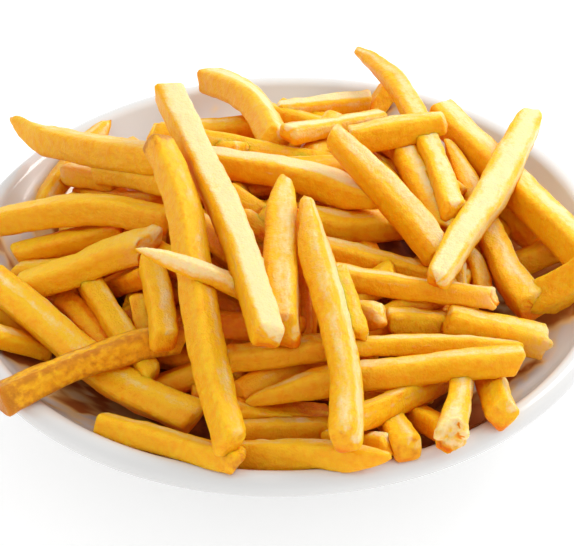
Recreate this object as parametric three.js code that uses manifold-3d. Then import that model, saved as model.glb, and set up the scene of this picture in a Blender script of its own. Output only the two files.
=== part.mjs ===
// A portion of french fries heaped in a round white porcelain bowl.
// Millimetres, +Z up, the origin at the centre of the bowl's flat underside, the front towards -Y.
import * as THREE from "three";
import { mergeVertices } from "three/addons/utils/BufferGeometryUtils.js";
import Module from "manifold-3d";

// The bowl: a flat base, a rising wall and a thick rolled lip.
const BASE_RADIUS = 42;
const RIM_RADIUS = 101.3; // to the centre of the rolled lip
const RIM_HEIGHT = 36;
const LIP_RADIUS = 3.7;
const FLOOR_RADIUS = 40;
const FLOOR_HEIGHT = 5;
const WALL_POWER = 1.35;
const WALL_THICKNESS = 5;
const BOWL_SIDES = 44;
const GAP = 0.35; // between the fries and the bowl

// The heap's mean upper surface, a dome that ends on the bowl's lip.
const HEAP_HEIGHT = 33; // over the rim
const HEAP_RADIUS = 90;
const HEAP_POWER = 1.9;
const LIP_REST = 9; // height over the rim of a fry that lies on the lip
const CORE_DEPTH = 23; // from the dome down to the core, in front
const REAR_CORE_DEPTH = 13; // and behind, where no fries show
const CORE_RADIUS = 89;
const CORE_EDGE = 2.6; // its thickness on the bowl's wall
const CORE_SIDES = 24;

// The eye that sees the heap: a lens of FOCAL picture units, on a picture of WIDTH x HEIGHT units.
const WIDTH = 574;
const HEIGHT = 546;
const FOCAL = 2000;
const ELEVATION = THREE.MathUtils.degToRad(38.42);
const ROLL = THREE.MathUtils.degToRad(1.345);
const DISTANCE = 635.2;
const AIM = new THREE.Vector3(0.63, -6.29, RIM_HEIGHT);

// The fries that show, from the lowest to the topmost: name, width as seen, turn about its own axis in
// degrees, its ends (c cut, t tip, r ragged), its middle line as seen, in picture units, and for a fry
// that sticks out, the height of its two ends over the dome. Each lies on its lines of sight.
const SHOWN = [
  ["shade_left_rear", 22, 30, "cc", [[80, 192], [160, 198]]],
  ["rear_left_down", 25, -20, "tc", [[110, 124], [82, 153], [55, 188], [46, 208]]],
  ["shade_rear", 26, 30, "cc", [[150, 138], [275, 124]]],
  ["shade_left_front", 28, 30, "cc", [[16, 258], [62, 246], [128, 228]]],
  ["dim_hole_stub", 24, 20, "cc", [[95, 292], [150, 274]]],
  ["shade_left_low", 25, -20, "cc", [[38, 282], [70, 306], [106, 345]]],
  ["hole_orange", 22, 20, "cc", [[140, 294], [148, 345]]],
  ["edge_stub_a", 24, 20, "cc", [[-14, 306], [40, 330]]],
  ["edge_stub_b", 24, 25, "cc", [[-12, 334], [50, 351]]],
  ["shade_middle", 32, 30, "cc", [[296, 218], [345, 226], [404, 224]]],
  ["shade_between", 28, 20, "cc", [[303, 250], [303, 345]]],
  ["shade_crossing", 28, 20, "cc", [[196, 322], [300, 330]]],
  ["low_a", 26, 30, "cc", [[232, 411], [330, 419]]],
  ["low_b", 26, 30, "cc", [[232, 431], [345, 428]]],
  ["low_right", 28, 25, "cc", [[395, 405], [448, 432]]],
  ["stub_pale", 15, 20, "rc", [[459, 264], [461, 290]]],
  ["stub_pale_top", 20, -20, "cc", [[466, 250], [477, 267], [484, 300]]],
  ["hollow_fry", 28, 25, "cc", [[484, 192], [540, 244]]],
  ["right_under", 30, 20, "cc", [[506, 270], [548, 252], [592, 232]]],
  ["rear_slip", 22, -20, "cc", [[391, 88], [366, 122]]],
  ["rear_under_bar", 28, -20, "cc", [[400, 144], [420, 182], [446, 228]]],
  ["left_notch_end", 26, 25, "rc", [[66, 174], [118, 182]]],
  ["left_rear_gold", 26, 25, "cc", [[100, 172], [135, 177], [180, 188]]],
  ["rear_pale_a", 24, 25, "cc", [[280, 112], [320, 107], [370, 101]]],
  ["rear_pale_b", 22, 25, "cc", [[286, 134], [330, 127], [382, 118]]],
  ["tall_tip", 27, -20, "tc", [[362, 48], [385, 70], [408, 102], [430, 150], [454, 212]], [22, 0]],
  ["wide_right", 40, 40, "cc", [[437, 110], [476, 148], [524, 195], [590, 260]]],
  ["rear_bar", 32, 25, "cc", [[346, 141], [400, 131], [445, 122]]],
  ["right_cut", 35, -20, "cc", [[537, 300], [560, 287], [592, 265]]],
  ["fan_upper", 26, 25, "cc", [[316, 248], [370, 260], [430, 276]]],
  ["fan_main", 24, 20, "cr", [[322, 272], [400, 286], [495, 298]]],
  ["pair_left", 28, 20, "cr", [[388, 320], [455, 324]]],
  ["fan_stub", 30, 20, "cr", [[340, 314], [384, 316]]],
  ["pair_right", 35, 25, "cr", [[446, 320], [495, 330], [546, 344]]],
  ["centre_low", 30, 25, "cc", [[226, 360], [270, 355], [345, 345]]],
  ["low_slant", 32, -25, "cc", [[370, 392], [388, 418], [408, 450]]],
  ["ring_end", 24, 20, "cc", [[325, 440], [390, 446]]],
  ["low_diagonal", 28, 25, "cc", [[345, 423], [390, 405], [446, 377]]],
  ["broken_short", 28, 15, "cr", [[464, 368], [460, 400], [450, 438]]],
  ["bright_short", 32, 20, "cc", [[484, 360], [493, 388], [503, 416]]],
  ["front_back", 23, 20, "cc", [[330, 347], [430, 345], [518, 349]]],
  ["centre_rear", 34, 28, "ct", [[205, 162], [250, 168], [300, 177], [350, 194], [393, 206]]],
  ["upright_tip", 33, 5, "tc", [[282, 180], [281, 250], [283, 332]]],
  ["beside_cross", 24, -15, "rc", [[338, 272], [348, 300], [359, 336]]],
  ["front_long", 32, 25, "tc", [[246, 396], [300, 387], [340, 378], [400, 373], [450, 366], [520, 360]]],
  ["front_right", 31, 25, "ct", [[234, 456], [310, 455], [389, 461]]],
  ["front_left", 30, 25, "cc", [[99, 423], [150, 437], [200, 451], [241, 461]]],
  ["front_cross", 34, 18, "tc", [[303, 199], [317, 260], [334, 320], [345, 380], [345, 441]]],
  ["left_big_shade", 32, 20, "cc", [[-8, 224], [50, 213], [105, 210], [168, 222]]],
  ["left_step", 29, -15, "cc", [[80, 266], [100, 300], [118, 328], [152, 378]]],
  ["left_pale_end", 32, 20, "cr", [[20, 290], [80, 270], [112, 256], [150, 245]]],
  ["left_long_pale", 37, -18, "cc", [[-10, 279], [45, 324], [100, 371], [150, 400], [196, 418]]],
  ["left_curl", 33, 25, "tc", [[19, 115], [33, 131], [47, 139], [72, 145], [102, 151], [160, 159]], [9, 0]],
  ["right_bend", 31, -20, "tc", [[450, 140], [466, 180], [484, 222], [500, 258], [514, 284], [536, 307]]],
  ["ridge_right", 36, -28, "cc", [[331, 133], [376, 180], [412, 220], [441, 258]]],
  ["rear_stub", 29, 20, "cc", [[207, 80], [230, 88], [254, 106], [276, 142]], [8, 0]],
  ["brown_long", 34, 22, "cc", [[-4, 401], [50, 375], [100, 356], [150, 341], [190, 336]]],
  ["hole_side", 30, -15, "cc", [[151, 262], [160, 300], [165, 342]]],
  ["dark_edge", 37, -40, "cc", [[157, 141], [181, 198], [191, 250], [199, 300], [207, 350], [231, 446]]],
  ["thin_pale", 21, 20, "tc", [[139, 251], [175, 262], [205, 272], [248, 291]]],
  ["top_pale", 35, -20, "cc", [[168, 91], [200, 158], [221, 200], [237, 240], [269, 338]], [6, 0]],
  ["right_cross", 34, 12, "cc", [[532, 114], [518, 142], [489, 198], [462, 236], [436, 282]], [10, 0]],
];

// How the fries settle on each other.
const STATIONS = 9; // along a middle line
const LONGEST = 112;
const STEEPEST = 1.6; // most depth between a fry's ends, as a share of its length as seen
const SWEEPS = 160;
const PULLED_SWEEPS = 120;
const PULL = 0.02; // towards a fry's own height, in each sweep
const YIELD = 1.6; // how much more the lower fry of a pair gives way
const SOLID_SHARE = 0.94; // of a fry's width as seen, which its chamfered section fills
const TESTED = 25; // places along a fry where it may touch another
const PAST_END = 0.35; // share of a half width by which a fry may pass the end of another and touch it
const PRESS = 0.86; // share of two half widths kept between two middle lines
const BOWL_PRESS = 0.82; // share of a half width kept over the bowl
const CORE_PRESS = 0.75; // share of a half width kept over the core
const TILT = 12; // most change of depth between its ends as a fry tilts to rest

// The fries behind and under them, drawn at random.
const SEED = 6;
const UNSEEN = 22;
const TRIES = 6000;
const UNSEEN_SIDE = 8.6;
const UNSEEN_SPACE = 6.5; // least distance between middle lines

// A fry's solid.
const CHAMFER = 0.24; // of its side
const TURNED_WIDTH = 0.72; // how much a turned section widens
const END_SIZE = 0.62;
const END_SPAN = 0.05; // share of the length over which a cut end is worn round
const TIP_SIZE = 0.34;
const TIP_SPAN = 0.24; // share of the length over which a tip narrows

const PORCELAIN = new THREE.MeshStandardMaterial({ color: 0xf2f0ec, roughness: 0.15, metalness: 0 });
const POTATO = new THREE.MeshStandardMaterial({ color: 0xf2b84a, roughness: 0.5, metalness: 0 });

// The seeded draw between 0 and 1.
function randomSource(seed) {
  let state = seed;
  return () => {
    state = (state + 0x6d2b79f5) | 0;
    let t = Math.imul(state ^ (state >>> 15), 1 | state);
    t = (t + Math.imul(t ^ (t >>> 7), 61 | t)) ^ t;
    return ((t ^ (t >>> 14)) >>> 0) / 4294967296;
  };
}

// Height of the bowl's inner face.
function innerHeight(r) {
  const share = Math.max(0, r - FLOOR_RADIUS) / (RIM_RADIUS - LIP_RADIUS - FLOOR_RADIUS);
  return FLOOR_HEIGHT + (RIM_HEIGHT - FLOOR_HEIGHT) * share ** WALL_POWER;
}

// A place on the rolled lip, at an angle up from its outer side.
function onLip(angle) {
  const r = RIM_RADIUS + LIP_RADIUS * Math.cos(angle);
  return new THREE.Vector2(r, RIM_HEIGHT + LIP_RADIUS * Math.sin(angle));
}

// The bowl's upper face, from the axis over the lip to its outer side.
function upperFace() {
  const points = [];
  for (const r of [0, 20, FLOOR_RADIUS, 48, 56, 64, 72, 80, 86, 92, RIM_RADIUS - LIP_RADIUS]) {
    points.push(new THREE.Vector2(r, innerHeight(r)));
  }
  for (let k = 1; k <= 8; k += 1) {
    points.push(onLip(Math.PI - (Math.PI * k) / 8));
  }
  return points;
}

const UPPER_FACE = upperFace();

// Distance of a point from the bowl's upper face, negative inside the wall.
function overBowl(point) {
  const r = Math.hypot(point.x, point.y);
  let least = Infinity;
  let side = 1;
  for (let k = 1; k < UPPER_FACE.length; k += 1) {
    const a = UPPER_FACE[k - 1];
    const b = UPPER_FACE[k];
    const dr = b.x - a.x;
    const dz = b.y - a.y;
    const t = THREE.MathUtils.clamp(((r - a.x) * dr + (point.z - a.y) * dz) / (dr * dr + dz * dz), 0, 1);
    const er = r - a.x - t * dr;
    const ez = point.z - a.y - t * dz;
    const distance = Math.hypot(er, ez);
    if (distance < least - 1e-9) {
      least = distance;
      side = dr * ez - dz * er >= 0 ? 1 : -1;
    }
  }
  return least * side;
}

// The bowl grown by the gap and filled below, which is cut from the heap.
function makeBowlRoom() {
  const profile = [new THREE.Vector2(0, -GAP)];
  profile.push(new THREE.Vector2(RIM_RADIUS + LIP_RADIUS + GAP, -GAP));
  for (let k = UPPER_FACE.length - 1; k >= 0; k -= 1) {
    const before = UPPER_FACE[Math.max(0, k - 1)];
    const after = UPPER_FACE[Math.min(UPPER_FACE.length - 1, k + 1)];
    const away = new THREE.Vector2(before.y - after.y, after.x - before.x).setLength(GAP);
    if (k > 0) profile.push(UPPER_FACE[k].clone().add(away));
  }
  profile.push(new THREE.Vector2(0, FLOOR_HEIGHT + GAP));
  const geometry = new THREE.LatheGeometry(profile, BOWL_SIDES);
  geometry.rotateX(Math.PI / 2);
  return geometry;
}

function makeBowl() {
  const profile = [...UPPER_FACE];
  for (let k = 1; k <= 4; k += 1) {
    profile.push(onLip((-Math.PI * k) / 6));
  }
  for (const r of [92, 84, 74, 64, 54]) {
    profile.push(new THREE.Vector2(r, innerHeight(r) - WALL_THICKNESS));
  }
  profile.push(new THREE.Vector2(BASE_RADIUS + 3, 0.8));
  profile.push(new THREE.Vector2(BASE_RADIUS, 0));
  profile.push(new THREE.Vector2(0, 0));
  const geometry = new THREE.LatheGeometry(profile.reverse(), BOWL_SIDES);
  geometry.rotateX(Math.PI / 2);
  return geometry;
}

// Height of the heap's mean upper surface.
function domeHeight(x, y) {
  const r = Math.hypot(x, y);
  const inside = HEAP_HEIGHT * (1 - (Math.min(r, HEAP_RADIUS) / HEAP_RADIUS) ** HEAP_POWER);
  const onLip = THREE.MathUtils.clamp((r - 86) / 9, 0, 1) * THREE.MathUtils.clamp((y + 66) / 10, 0, 1);
  return RIM_HEIGHT + Math.max(inside, -3 + (LIP_REST + 3) * onLip);
}

// The eye's place and its three directions.
function makeEye() {
  const back = new THREE.Vector3(0, -Math.cos(ELEVATION), Math.sin(ELEVATION));
  const level = new THREE.Vector3(1, 0, 0);
  const upright = new THREE.Vector3().crossVectors(back, level);
  return {
    place: AIM.clone().addScaledVector(back, DISTANCE),
    ahead: back.clone().negate(),
    right: level.clone().multiplyScalar(Math.cos(ROLL)).addScaledVector(upright, -Math.sin(ROLL)),
    up: upright.clone().multiplyScalar(Math.cos(ROLL)).addScaledVector(level, Math.sin(ROLL)),
  };
}

const EYE = makeEye();

// The point at a depth on the line of sight through a place in the picture.
function pointAt(u, v, depth) {
  const direction = EYE.ahead.clone();
  direction.addScaledVector(EYE.right, (u - WIDTH / 2) / FOCAL);
  direction.addScaledVector(EYE.up, -(v - HEIGHT / 2) / FOCAL);
  return EYE.place.clone().addScaledVector(direction, depth);
}

// Where a point shows in the picture, and its depth.
function seenAt(point) {
  const from = point.clone().sub(EYE.place);
  const depth = from.dot(EYE.ahead);
  return {
    u: WIDTH / 2 + (FOCAL * from.dot(EYE.right)) / depth,
    v: HEIGHT / 2 - (FOCAL * from.dot(EYE.up)) / depth,
    depth,
  };
}

// The depth at which a line of sight comes down to a height over the dome.
function depthOnDome(u, v, lift) {
  const over = (depth) => {
    const p = pointAt(u, v, depth);
    return p.z - domeHeight(p.x, p.y) - lift;
  };
  let near = DISTANCE - 160;
  let far = near;
  while (over(far) > 0 && far < DISTANCE + 160) {
    near = far;
    far += 4;
  }
  for (let k = 0; k < 20; k += 1) {
    const middle = (near + far) / 2;
    if (over(middle) > 0) near = middle;
    else far = middle;
  }
  return far;
}

// Points spaced evenly along a smooth line through the named ones.
function smoothLine(path, count) {
  const points = path.map(([u, v]) => new THREE.Vector2(u, v));
  if (points.length === 2) {
    return Array.from({ length: count }, (_, k) => points[0].clone().lerp(points[1], k / (count - 1)));
  }
  const ends = [
    points[0].clone().multiplyScalar(2).sub(points[1]),
    points.at(-1).clone().multiplyScalar(2).sub(points.at(-2)),
  ];
  const guides = [ends[0], ...points, ends[1]];
  const fine = [];
  for (let i = 1; i < guides.length - 2; i += 1) {
    for (let k = 0; k < 12; k += 1) {
      fine.push(curvePoint(guides[i - 1], guides[i], guides[i + 1], guides[i + 2], k / 12));
    }
  }
  fine.push(points.at(-1));
  const reach = [0];
  for (let k = 1; k < fine.length; k += 1) {
    reach.push(reach[k - 1] + fine[k].distanceTo(fine[k - 1]));
  }
  const line = [];
  let piece = 1;
  for (let k = 0; k < count; k += 1) {
    const goal = (reach.at(-1) * k) / (count - 1);
    while (piece < fine.length - 1 && reach[piece] < goal) piece += 1;
    const share = (goal - reach[piece - 1]) / (reach[piece] - reach[piece - 1]);
    line.push(fine[piece - 1].clone().lerp(fine[piece], Math.min(1, share)));
  }
  return line;
}

function curvePoint(a, b, c, d, t) {
  const blend = (p, q, r, s) =>
    0.5 * (2 * q + (r - p) * t + (2 * p - 5 * q + 4 * r - s) * t * t + (3 * q - p - 3 * r + s) * t ** 3);
  return new THREE.Vector2(blend(a.x, b.x, c.x, d.x), blend(a.y, b.y, c.y, d.y));
}

// A shown fry before it settles: its line as seen, and its depth as a straight line, middle + slope * s.
function readFry([name, width, turn, ends, path, [liftA, liftB] = [0, 0]]) {
  const line = smoothLine(path, STATIONS);
  const s = line.map((_, k) => (2 * k) / (STATIONS - 1) - 1);
  const wanted = line.map((p, k) => depthOnDome(p.x, p.y, liftA + ((liftB - liftA) * k) / (STATIONS - 1)));
  const middle = wanted.reduce((sum, depth) => sum + depth, 0) / STATIONS;
  const spread = s.reduce((sum, place) => sum + place * place, 0);
  const slope = s.reduce((sum, place, k) => sum + place * (wanted[k] - middle), 0) / spread;
  const half = (SOLID_SHARE * width * middle) / FOCAL / 2;
  const pixels = line.slice(1).reduce((sum, p, k) => sum + p.distanceTo(line[k]), 0);
  const seen = (pixels * middle) / FOCAL;
  const steep = 0.5 * Math.min(STEEPEST * seen, Math.sqrt(Math.max(0, LONGEST ** 2 - seen ** 2)));
  const deepest = line.map((p, k) => deepestClear(p, wanted[k], half));
  const held = THREE.MathUtils.clamp(slope, -steep, steep);
  return {
    name, turn, ends, line, s, half, steep, deepest, width, isShown: true, isPlain: path.length === 2,
    middle, slope: held, ownMiddle: middle, ownSlope: held,
  };
}

// The greatest depth on a line of sight at which a fry is clear of the bowl and of the core. The line may
// graze the lip, but ends where it enters the bowl.
function deepestClear(p, wanted, half) {
  let clear = wanted - 30;
  for (let depth = clear; depth < wanted + 50; depth += 0.5) {
    const point = pointAt(p.x, p.y, depth);
    const height = overBowl(point);
    const overCore = point.z - coreHeight(point.x, point.y);
    if (height < 0 || overCore < CORE_PRESS * half) return clear;
    if (height > BOWL_PRESS * half) clear = depth;
  }
  return clear;
}

// Where two fries cross as seen, and how far apart in depth they must lie there.
function findContacts(fries) {
  const contacts = [];
  fries.forEach((upper, j) => {
    fries.slice(0, j).forEach((lower) => {
      for (let k = 0; k < TESTED; k += 1) {
        const sUpper = (2 * k) / (TESTED - 1) - 1;
        const p = pointOn(upper.line, sUpper);
        const near = nearestOn(lower.line, lower.s, p);
        const distance = (near.distance * lower.middle) / FOCAL;
        const reach = PRESS * (halfAt(lower, near.s) + halfAt(upper, sUpper));
        if (distance < reach && pastEnd(lower, near.s, p) < upper.half * PAST_END &&
            pastEnd(upper, sUpper, pointOn(lower.line, near.s)) < lower.half * PAST_END) {
          contacts.push({ lower, upper, sLower: near.s, sUpper, gap: Math.sqrt(reach ** 2 - distance ** 2) });
        }
      }
    });
  });
  return contacts;
}

function halfAt(fry, s) {
  return fry.half * narrowing((s + 1) / 2, fry.ends);
}

function pointOn(line, s) {
  const place = ((s + 1) / 2) * (line.length - 1);
  const k = Math.min(line.length - 2, Math.floor(place));
  return line[k].clone().lerp(line[k + 1], place - k);
}

// How far a place lies past the end of a fry, in mm, or 0 beside it.
function pastEnd(fry, s, p) {
  if (Math.abs(s) < 0.999) return 0;
  const last = fry.line.length - 1;
  const [end, before] = s > 0 ? [fry.line[last], fry.line[last - 1]] : [fry.line[0], fry.line[1]];
  const outward = end.clone().sub(before).normalize();
  return (p.clone().sub(end).dot(outward) * DISTANCE) / FOCAL;
}

function nearestOn(line, s, p) {
  const best = { distance: Infinity, s: 0 };
  for (let k = 1; k < line.length; k += 1) {
    const span = line[k].clone().sub(line[k - 1]);
    const from = p.clone().sub(line[k - 1]);
    const t = THREE.MathUtils.clamp(from.dot(span) / span.lengthSq(), 0, 1);
    const distance = from.addScaledVector(span, -t).length();
    if (distance < best.distance) {
      best.distance = distance;
      best.s = s[k - 1] + (s[k] - s[k - 1]) * t;
    }
  }
  return best;
}

// Moves the fries along their lines of sight until each lies over the ones it crosses.
function settle(fries) {
  const contacts = findContacts(fries);
  for (let sweep = 0; sweep < SWEEPS; sweep += 1) {
    for (const { lower, upper, sLower, sUpper, gap } of contacts) {
      const lack = gap - (lower.middle + lower.slope * sLower - upper.middle - upper.slope * sUpper);
      if (lack > 0) {
        const push = lack / (YIELD * (1 + 3 * sLower ** 2) + 1 + 3 * sUpper ** 2);
        lower.middle += YIELD * push;
        lower.slope += YIELD * push * 3 * sLower;
        upper.middle -= push;
        upper.slope -= push * 3 * sUpper;
      }
    }
    for (const fry of fries) {
      fry.s.forEach((place, k) => {
        const lack = fry.deepest[k] - fry.middle - fry.slope * place;
        if (lack < 0) {
          const push = lack / (1 + 3 * place ** 2);
          fry.middle += push;
          fry.slope += push * 3 * place;
        }
      });
      fry.slope = THREE.MathUtils.clamp(fry.slope, -fry.steep, fry.steep);
      if (sweep < PULLED_SWEEPS) {
        fry.middle += PULL * (fry.ownMiddle - fry.middle);
        fry.slope += PULL * (fry.ownSlope - fry.slope);
      }
    }
  }
  fries.forEach(place);
}

// A shown fry's middle line and side in space.
function place(fry) {
  fry.points = fry.line.map((p, k) => pointAt(p.x, p.y, fry.middle + fry.slope * fry.s[k]));
  const turn = THREE.MathUtils.degToRad(fry.turn);
  const widening = Math.cos(turn) + TURNED_WIDTH * Math.abs(Math.sin(turn));
  fry.side = (fry.width * fry.middle) / FOCAL / widening;
}

// Lets the shown fries come down, from the lowest to the topmost, until each rests at two places.
function comeToRest(shown, unseen) {
  const contacts = findContacts([...unseen, ...shown]);
  for (const fry of shown) {
    const limits = fry.s.map((at, k) => ({ at, depth: fry.deepest[k] }));
    for (const { lower, upper, sLower, sUpper, gap } of contacts) {
      if (upper === fry) limits.push({ at: sUpper, depth: lower.middle + lower.slope * sLower - gap });
    }
    const room = ({ at, depth }) => depth - fry.middle - fry.slope * at;
    const first = limits.reduce((best, limit) => (room(limit) < room(best) ? limit : best));
    fry.middle += room(first);
    const sense = first.at > 0 ? -1 : 1;
    let tilt = TILT / 2;
    for (const limit of limits) {
      const arm = (limit.at - first.at) * sense;
      if (arm > 0.05) tilt = Math.min(tilt, room(limit) / arm);
    }
    tilt = Math.min(tilt, fry.steep - sense * fry.slope);
    if (tilt > 0) {
      fry.slope += sense * tilt;
      fry.middle -= sense * tilt * first.at;
    }
    place(fry);
  }
}

// Fries that the shown ones hide, drawn at random behind and under them.
function drawUnseen(shown) {
  const random = randomSource(SEED);
  const taken = shown.map((fry) => fry.points);
  const unseen = [];
  for (let k = 0; k < TRIES && unseen.length < UNSEEN; k += 1) {
    const radius = 84 * Math.sqrt(random());
    const around = 2 * Math.PI * random();
    const heading = 2 * Math.PI * random();
    const length = 52 + 38 * random();
    const sink = 9 + 18 * random();
    const pitch = 0.5 * (random() - 0.5);
    const centre = new THREE.Vector3(radius * Math.cos(around), radius * Math.sin(around), 0);
    const fall = (HEAP_HEIGHT * HEAP_POWER * (radius / HEAP_RADIUS) ** (HEAP_POWER - 1)) / HEAP_RADIUS;
    const rise = pitch - fall * Math.cos(heading - around);
    const along = new THREE.Vector3(Math.cos(heading), Math.sin(heading), rise).normalize();
    centre.z = domeHeight(centre.x, centre.y) - sink;
    const points = [-2, -1, 0, 1, 2].map((q) => centre.clone().addScaledVector(along, (q * length) / 4));
    if (points.every((p) => overBowl(p) > 5 && Math.hypot(p.x, p.y) < 90) &&
        points.every((p) => isHidden(p, shown)) && isApart(points, taken)) {
      taken.push(points);
      const turn = 45 * random();
      unseen.push(asSeen({ points, side: UNSEEN_SIDE, turn, ends: "cc", isShown: false, isPlain: true }));
    }
  }
  return unseen;
}

// Adds to a hidden fry its line as seen and its depths.
function asSeen(fry) {
  const seen = fry.points.map(seenAt);
  const last = seen.length - 1;
  return {
    ...fry,
    line: seen.map(({ u, v }) => new THREE.Vector2(u, v)),
    s: seen.map((_, k) => (2 * k) / last - 1),
    half: fry.side / 2,
    middle: (seen[0].depth + seen[last].depth) / 2,
    slope: (seen[last].depth - seen[0].depth) / 2,
  };
}

function isHidden(point, shown) {
  const seen = seenAt(point);
  const place = new THREE.Vector2(seen.u, seen.v);
  return shown.some((fry) => {
    const near = nearestOn(fry.line, fry.s, place);
    return near.distance < fry.width / 2 + 3 && seen.depth > fry.middle + fry.slope * near.s + UNSEEN_SPACE;
  });
}

function isApart(points, taken) {
  return taken.every((others) => points.every((p) => others.every((q) => p.distanceTo(q) > UNSEEN_SPACE)));
}

// How wide a fry is at a share of its length, against its side.
function narrowing(share, ends) {
  const tip = (distance) => TIP_SIZE + (1 - TIP_SIZE) * Math.min(1, distance / TIP_SPAN) ** 0.6;
  const cut = (distance) => END_SIZE + (1 - END_SIZE) * Math.min(1, distance / END_SPAN);
  const first = ends[0] === "t" ? tip(share) : cut(share);
  const last = ends[1] === "t" ? tip(1 - share) : cut(1 - share);
  return Math.min(first, last);
}

// The section of a fry: a square, chamfered where much of the fry shows.
function makeSection(side, isPlain) {
  const half = side / 2;
  const cut = half - side * CHAMFER;
  const plain = [[half, half], [-half, half]];
  const chamfered = [[half, -cut], [half, cut], [cut, half], [-cut, half]];
  const outline = isPlain ? plain : chamfered;
  return [...outline, ...outline.map(([a, b]) => [-a, -b])];
}

// Where along a fry its section is set: at its ends, beside them, and between them if it is bent.
function stationsOf({ isShown, isPlain }) {
  if (!isShown) return [0, 1];
  return isPlain ? [0, END_SPAN, 1 - END_SPAN, 1] : [0, END_SPAN, 0.36, 0.68, 1 - END_SPAN, 1];
}

// A fry: sections along its middle line, one face turned from the eye by its own angle.
function makeFry(fry) {
  const { points, side, turn, ends, isShown, isPlain } = fry;
  const curve = new THREE.CatmullRomCurve3(points);
  const section = makeSection(side, isPlain);
  const stations = stationsOf(fry);
  const positions = [];
  stations.forEach((share) => {
    const centre = curve.getPointAt(share);
    const along = curve.getTangentAt(share);
    const facing = EYE.place.clone().sub(centre);
    facing.addScaledVector(along, -facing.dot(along)).normalize();
    const across = new THREE.Vector3().crossVectors(along, facing);
    const scale = isShown ? narrowing(share, ends) : 1;
    section.forEach(([a, b]) => {
      const angle = Math.atan2(b, a) + THREE.MathUtils.degToRad(turn);
      const radius = Math.hypot(a, b) * scale;
      const corner = centre.clone().addScaledVector(facing, radius * Math.cos(angle));
      corner.addScaledVector(across, radius * Math.sin(angle));
      positions.push(...corner.toArray());
    });
  });
  const sides = section.length;
  const faces = [];
  for (let k = 0; k < stations.length - 1; k += 1) {
    for (let i = 0; i < sides; i += 1) {
      const a = k * sides + i;
      const b = k * sides + ((i + 1) % sides);
      faces.push(a, b, b + sides, a, b + sides, a + sides);
    }
  }
  const last = (stations.length - 1) * sides;
  for (let i = 1; i < sides - 1; i += 1) {
    faces.push(0, i + 1, i, last, last + i, last + i + 1);
  }
  return toGeometry(positions, faces);
}

// Height of the core's upper face. Past its edge there is none.
function coreHeight(x, y) {
  const r = Math.hypot(x, y);
  if (r > CORE_RADIUS + 0.1) return -Infinity;
  const depth = CORE_DEPTH + (REAR_CORE_DEPTH - CORE_DEPTH) * THREE.MathUtils.smoothstep(y, -10, 45);
  return Math.max(domeHeight(0, r) - depth, innerHeight(r) + CORE_EDGE);
}

// The core of the heap, which the fries lie on.
function makeCore() {
  const profile = [new THREE.Vector2(0, FLOOR_HEIGHT - 1)];
  for (const r of [20, FLOOR_RADIUS, 52, 64, 76, CORE_RADIUS]) {
    profile.push(new THREE.Vector2(r, innerHeight(r) - 1));
  }
  for (const share of [1, 0.9, 0.8, 0.7, 0.5, 0.3, 0]) {
    profile.push(new THREE.Vector2(CORE_RADIUS * share, RIM_HEIGHT + HEAP_HEIGHT));
  }
  const geometry = new THREE.LatheGeometry(profile, CORE_SIDES);
  geometry.rotateX(Math.PI / 2);
  const corners = geometry.getAttribute("position");
  for (let k = 0; k < corners.count; k += 1) {
    if (corners.getZ(k) > RIM_HEIGHT) corners.setZ(k, coreHeight(corners.getX(k), corners.getY(k)));
  }
  return geometry;
}

function toGeometry(positions, faces) {
  const geometry = new THREE.BufferGeometry();
  geometry.setAttribute("position", new THREE.BufferAttribute(new Float32Array(positions), 3));
  geometry.setIndex(faces);
  return geometry;
}

const wasm = await Module();
wasm.setup();

function toSolid(geometry) {
  const bare = geometry.clone();
  bare.deleteAttribute("normal");
  bare.deleteAttribute("uv");
  const merged = mergeVertices(bare, 1e-4);
  const mesh = { numProp: 3, vertProperties: merged.attributes.position.array };
  return new wasm.Manifold(new wasm.Mesh({ ...mesh, triVerts: new Uint32Array(merged.index.array) }));
}

function fromSolid(solid) {
  const mesh = solid.getMesh();
  return toGeometry(mesh.vertProperties, Array.from(mesh.triVerts));
}

// The fused heap as one closed body: sealed hollows are filled and loose scraps dropped.
function fuse(geometries) {
  let fused = toSolid(geometries[0]);
  for (const geometry of geometries.slice(1)) fused = fused.add(toSolid(geometry));
  const bodies = fused.subtract(toSolid(makeBowlRoom())).decompose();
  return bodies.reduce((best, body) => (body.volume() > best.volume() ? body : best));
}

function addPiece(group, name, geometry, material) {
  geometry.computeVertexNormals();
  const mesh = new THREE.Mesh(geometry, material);
  mesh.name = name;
  group.add(mesh);
}

const shown = SHOWN.map(readFry);
settle(shown);
const unseen = drawUnseen(shown);
comeToRest(shown, unseen);
const heapPieces = [
  makeCore(),
  ...shown.map(makeFry),
  ...unseen.map(makeFry),
];

const portion = new THREE.Group();
addPiece(portion, "bowl", makeBowl(), PORCELAIN);
addPiece(portion, "fries", fromSolid(fuse(heapPieces)), POTATO);

export default portion;
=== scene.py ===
import math

import bpy
import numpy as np
from mathutils import Matrix, Vector
from mathutils.bvhtree import BVHTree


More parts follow.
